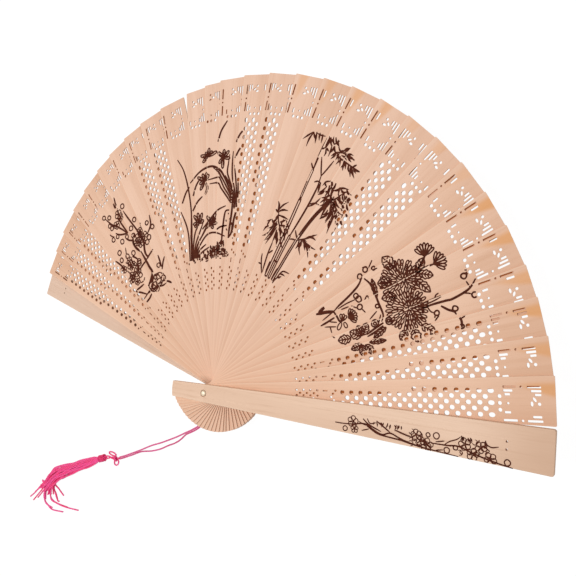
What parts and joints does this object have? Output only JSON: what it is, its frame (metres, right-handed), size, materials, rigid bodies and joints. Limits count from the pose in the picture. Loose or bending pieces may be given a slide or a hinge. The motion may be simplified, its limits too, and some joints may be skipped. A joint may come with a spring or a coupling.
{
  "type": "folding hand fan",
  "caption": "Wooden folding hand fan of thin tapered blades between two guards on one rivet, opened to a half circle, with a doubled cord and tassel.",
  "frame": {"origin": "on the rivet's axis, at the flat back head of the rivet, flush with the back guard's outer face", "axes": "+Z along the rivet from the back guard to the front guard, +Y from the rivet to the middle of the open fan, +X towards the front guard's tip"},
  "size_m": [0.3484, 0.3042, 0.027],
  "materials": {
    "blade_wood": "pale peach veneer, bare, sanded",
    "guard_wood": "pale straw wood with fine straight grain, bare, sanded",
    "brass": "polished brass rivet head",
    "pink_cord": "hot pink twisted polyester cord with a soft sheen"
  },
  "bodies": {
    "back_guard": {"back_guard": "guard_wood", "pivot_rivet": "brass", "cord_hitch": "pink_cord", "cord_strand_left": "pink_cord", "cord_strand_right": "pink_cord", "cord_bow": "pink_cord", "tassel_wrap": "pink_cord", "tassel_skirt": "pink_cord"},
    "front_guard": {"front_guard": "guard_wood"},
    "blade_01": {"blade_01": "blade_wood"},
    "blade_02": {"blade_02": "blade_wood"},
    "blade_03": {"blade_03": "blade_wood"},
    "blade_04": {"blade_04": "blade_wood"},
    "blade_05": {"blade_05": "blade_wood"},
    "blade_06": {"blade_06": "blade_wood"},
    "blade_07": {"blade_07": "blade_wood"},
    "blade_08": {"blade_08": "blade_wood"},
    "blade_09": {"blade_09": "blade_wood"},
    "blade_10": {"blade_10": "blade_wood"},
    "blade_11": {"blade_11": "blade_wood"},
    "blade_12": {"blade_12": "blade_wood"},
    "blade_13": {"blade_13": "blade_wood"},
    "blade_14": {"blade_14": "blade_wood"},
    "blade_15": {"blade_15": "blade_wood"},
    "blade_16": {"blade_16": "blade_wood"},
    "blade_17": {"blade_17": "blade_wood"},
    "blade_18": {"blade_18": "blade_wood"},
    "blade_19": {"blade_19": "blade_wood"},
    "blade_20": {"blade_20": "blade_wood"},
    "blade_21": {"blade_21": "blade_wood"},
    "blade_22": {"blade_22": "blade_wood"},
    "blade_23": {"blade_23": "blade_wood"},
    "blade_24": {"blade_24": "blade_wood"},
    "blade_25": {"blade_25": "blade_wood"},
    "blade_26": {"blade_26": "blade_wood"},
    "blade_27": {"blade_27": "blade_wood"},
    "blade_28": {"blade_28": "blade_wood"}
  },
  "joints": [
    {"name": "fan_fold", "type": "hinge", "parent": "back_guard", "child": "front_guard", "pos_m": [0, 0, 0.02505], "axis": [0, 0, 1], "range_deg": [0, 161.6]},
    {"name": "blade_01_swing", "type": "hinge", "parent": "back_guard", "child": "blade_01", "pos_m": [0, 0, 0.00445], "axis": [0, 0, 1], "range_deg": [0, 5.47]},
    {"name": "blade_02_swing", "type": "hinge", "parent": "back_guard", "child": "blade_02", "pos_m": [0, 0, 0.00515], "axis": [0, 0, 1], "range_deg": [0, 10.88]},
    {"name": "blade_03_swing", "type": "hinge", "parent": "back_guard", "child": "blade_03", "pos_m": [0, 0, 0.00585], "axis": [0, 0, 1], "range_deg": [0, 15.79]},
    {"name": "blade_04_swing", "type": "hinge", "parent": "back_guard", "child": "blade_04", "pos_m": [0, 0, 0.00655], "axis": [0, 0, 1], "range_deg": [0, 21.69]},
    {"name": "blade_05_swing", "type": "hinge", "parent": "back_guard", "child": "blade_05", "pos_m": [0, 0, 0.00725], "axis": [0, 0, 1], "range_deg": [0, 27.08]},
    {"name": "blade_06_swing", "type": "hinge", "parent": "back_guard", "child": "blade_06", "pos_m": [0, 0, 0.00795], "axis": [0, 0, 1], "range_deg": [0, 32.98]},
    {"name": "blade_07_swing", "type": "hinge", "parent": "back_guard", "child": "blade_07", "pos_m": [0, 0, 0.00865], "axis": [0, 0, 1], "range_deg": [0, 37.88]},
    {"name": "blade_08_swing", "type": "hinge", "parent": "back_guard", "child": "blade_08", "pos_m": [0, 0, 0.00935], "axis": [0, 0, 1], "range_deg": [0, 43.3]},
    {"name": "blade_09_swing", "type": "hinge", "parent": "back_guard", "child": "blade_09", "pos_m": [0, 0, 0.01005], "axis": [0, 0, 1], "range_deg": [0, 48.74]},
    {"name": "blade_10_swing", "type": "hinge", "parent": "back_guard", "child": "blade_10", "pos_m": [0, 0, 0.01075], "axis": [0, 0, 1], "range_deg": [0, 54.91]},
    {"name": "blade_11_swing", "type": "hinge", "parent": "back_guard", "child": "blade_11", "pos_m": [0, 0, 0.01145], "axis": [0, 0, 1], "range_deg": [0, 61.93]},
    {"name": "blade_12_swing", "type": "hinge", "parent": "back_guard", "child": "blade_12", "pos_m": [0, 0, 0.01215], "axis": [0, 0, 1], "range_deg": [0, 67]},
    {"name": "blade_13_swing", "type": "hinge", "parent": "back_guard", "child": "blade_13", "pos_m": [0, 0, 0.01285], "axis": [0, 0, 1], "range_deg": [0, 70.92]},
    {"name": "blade_14_swing", "type": "hinge", "parent": "back_guard", "child": "blade_14", "pos_m": [0, 0, 0.01355], "axis": [0, 0, 1], "range_deg": [0, 76.59]},
    {"name": "blade_15_swing", "type": "hinge", "parent": "back_guard", "child": "blade_15", "pos_m": [0, 0, 0.01425], "axis": [0, 0, 1], "range_deg": [0, 82.32]},
    {"name": "blade_16_swing", "type": "hinge", "parent": "back_guard", "child": "blade_16", "pos_m": [0, 0, 0.01495], "axis": [0, 0, 1], "range_deg": [0, 88.09]},
    {"name": "blade_17_swing", "type": "hinge", "parent": "back_guard", "child": "blade_17", "pos_m": [0, 0, 0.01565], "axis": [0, 0, 1], "range_deg": [0, 93.9]},
    {"name": "blade_18_swing", "type": "hinge", "parent": "back_guard", "child": "blade_18", "pos_m": [0, 0, 0.01635], "axis": [0, 0, 1], "range_deg": [0, 99.73]},
    {"name": "blade_19_swing", "type": "hinge", "parent": "back_guard", "child": "blade_19", "pos_m": [0, 0, 0.01705], "axis": [0, 0, 1], "range_deg": [0, 105.56]},
    {"name": "blade_20_swing", "type": "hinge", "parent": "back_guard", "child": "blade_20", "pos_m": [0, 0, 0.01775], "axis": [0, 0, 1], "range_deg": [0, 111.37]},
    {"name": "blade_21_swing", "type": "hinge", "parent": "back_guard", "child": "blade_21", "pos_m": [0, 0, 0.01845], "axis": [0, 0, 1], "range_deg": [0, 117.16]},
    {"name": "blade_22_swing", "type": "hinge", "parent": "back_guard", "child": "blade_22", "pos_m": [0, 0, 0.01915], "axis": [0, 0, 1], "range_deg": [0, 122.91]},
    {"name": "blade_23_swing", "type": "hinge", "parent": "back_guard", "child": "blade_23", "pos_m": [0, 0, 0.01985], "axis": [0, 0, 1], "range_deg": [0, 128.6]},
    {"name": "blade_24_swing", "type": "hinge", "parent": "back_guard", "child": "blade_24", "pos_m": [0, 0, 0.02055], "axis": [0, 0, 1], "range_deg": [0, 134.23]},
    {"name": "blade_25_swing", "type": "hinge", "parent": "back_guard", "child": "blade_25", "pos_m": [0, 0, 0.02125], "axis": [0, 0, 1], "range_deg": [0, 140.26]},
    {"name": "blade_26_swing", "type": "hinge", "parent": "back_guard", "child": "blade_26", "pos_m": [0, 0, 0.02195], "axis": [0, 0, 1], "range_deg": [0, 144.82]},
    {"name": "blade_27_swing", "type": "hinge", "parent": "back_guard", "child": "blade_27", "pos_m": [0, 0, 0.02265], "axis": [0, 0, 1], "range_deg": [0, 150.04]},
    {"name": "blade_28_swing", "type": "hinge", "parent": "back_guard", "child": "blade_28", "pos_m": [0, 0, 0.02335], "axis": [0, 0, 1], "range_deg": [0, 155.18]}
  ],
  "couplings": [
    {"joint": "blade_01_swing", "follows": "fan_fold", "ratio": 0.033514},
    {"joint": "blade_02_swing", "follows": "fan_fold", "ratio": 0.067009},
    {"joint": "blade_03_swing", "follows": "fan_fold", "ratio": 0.097376},
    {"joint": "blade_04_swing", "follows": "fan_fold", "ratio": 0.13389},
    {"joint": "blade_05_swing", "follows": "fan_fold", "ratio": 0.16729},
    {"joint": "blade_06_swing", "follows": "fan_fold", "ratio": 0.20378},
    {"joint": "blade_07_swing", "follows": "fan_fold", "ratio": 0.23411},
    {"joint": "blade_08_swing", "follows": "fan_fold", "ratio": 0.26763},
    {"joint": "blade_09_swing", "follows": "fan_fold", "ratio": 0.30129},
    {"joint": "blade_10_swing", "follows": "fan_fold", "ratio": 0.3395},
    {"joint": "blade_11_swing", "follows": "fan_fold", "ratio": 0.38292},
    {"joint": "blade_12_swing", "follows": "fan_fold", "ratio": 0.41427},
    {"joint": "blade_13_swing", "follows": "fan_fold", "ratio": 0.43853},
    {"joint": "blade_14_swing", "follows": "fan_fold", "ratio": 0.47365},
    {"joint": "blade_15_swing", "follows": "fan_fold", "ratio": 0.5091},
    {"joint": "blade_16_swing", "follows": "fan_fold", "ratio": 0.54482},
    {"joint": "blade_17_swing", "follows": "fan_fold", "ratio": 0.58075},
    {"joint": "blade_18_swing", "follows": "fan_fold", "ratio": 0.61681},
    {"joint": "blade_19_swing", "follows": "fan_fold", "ratio": 0.65289},
    {"joint": "blade_20_swing", "follows": "fan_fold", "ratio": 0.68888},
    {"joint": "blade_21_swing", "follows": "fan_fold", "ratio": 0.7247},
    {"joint": "blade_22_swing", "follows": "fan_fold", "ratio": 0.76025},
    {"joint": "blade_23_swing", "follows": "fan_fold", "ratio": 0.79548},
    {"joint": "blade_24_swing", "follows": "fan_fold", "ratio": 0.83034},
    {"joint": "blade_25_swing", "follows": "fan_fold", "ratio": 0.86761},
    {"joint": "blade_26_swing", "follows": "fan_fold", "ratio": 0.89587},
    {"joint": "blade_27_swing", "follows": "fan_fold", "ratio": 0.92818},
    {"joint": "blade_28_swing", "follows": "fan_fold", "ratio": 0.95997}
  ]
}
